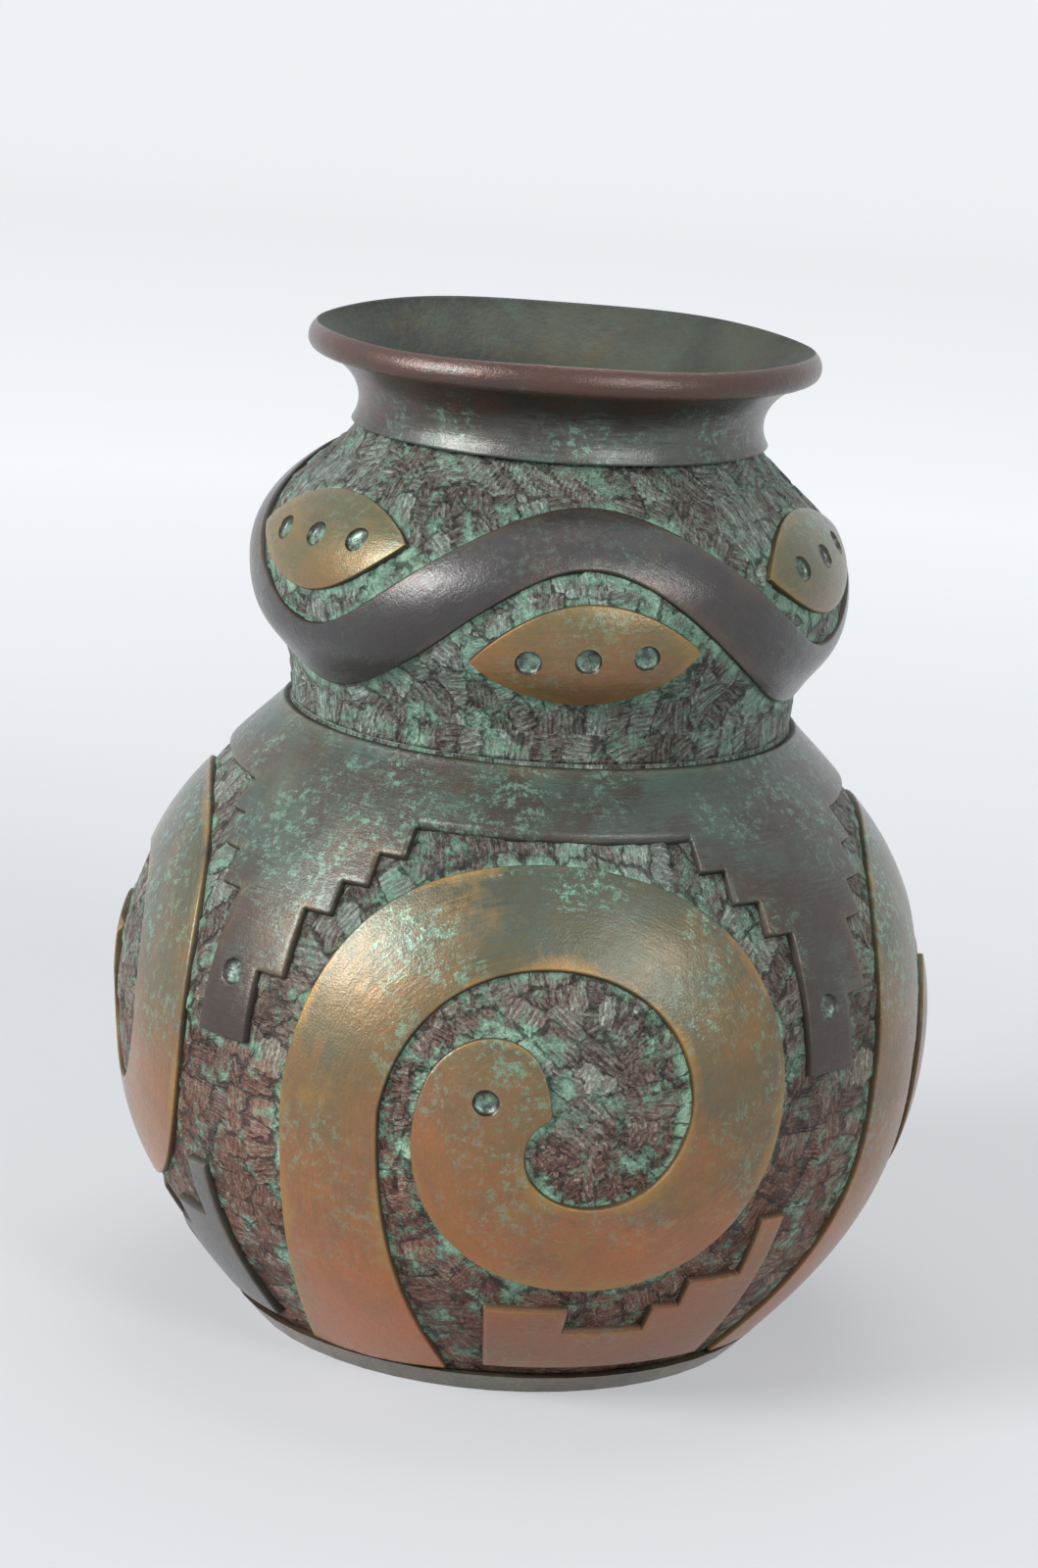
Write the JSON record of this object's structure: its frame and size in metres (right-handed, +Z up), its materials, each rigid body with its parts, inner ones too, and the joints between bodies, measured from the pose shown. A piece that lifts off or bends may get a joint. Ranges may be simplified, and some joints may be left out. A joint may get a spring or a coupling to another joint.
{
  "type": "vase",
  "caption": "Cast bronze vase with a round belly, smaller upper bulb, short flared neck and rolled lip, under raised scroll, wave and step ornament.",
  "frame": {"origin": "centre of the foot ring's flat underside, where the vase's axis meets the surface it stands on", "axes": "+Z up along the vase's axis of turning; -Y looks out of the side that the picture shows"},
  "size_m": [0.2504, 0.2504, 0.305],
  "materials": {
    "dark_bronze": "satin waxed brown-black patina",
    "ground_bronze": "chiselled, matt verdigris patina",
    "golden_bronze": "satin waxed golden patina",
    "copper_bronze": "satin waxed copper patina",
    "grey_bronze": "satin grey patina",
    "ring_bronze": "satin waxed brown patina"
  },
  "bodies": {
    "root": {"foot_ring": "ring_bronze", "base_plate": "ring_bronze", "belly": "ground_bronze", "upper_bulb": "ground_bronze", "neck_and_lip": "dark_bronze", "shoulder_plate": "dark_bronze", "wave_band": "dark_bronze", "scroll_1": "golden_bronze", "foot_step_plate_1": "copper_bronze", "core_plug_1": "ground_bronze", "scroll_2": "golden_bronze", "foot_step_plate_2": "grey_bronze", "core_plug_2": "ground_bronze", "scroll_3": "golden_bronze", "foot_step_plate_3": "copper_bronze", "core_plug_3": "ground_bronze", "scroll_4": "golden_bronze", "foot_step_plate_4": "grey_bronze", "core_plug_4": "ground_bronze", "leaf_under_crest_1": "golden_bronze", "leaf_over_hollow_1": "golden_bronze", "leaf_under_crest_2": "golden_bronze", "leaf_over_hollow_2": "golden_bronze", "leaf_under_crest_3": "golden_bronze", "leaf_over_hollow_3": "golden_bronze"}
  },
  "joints": []
}
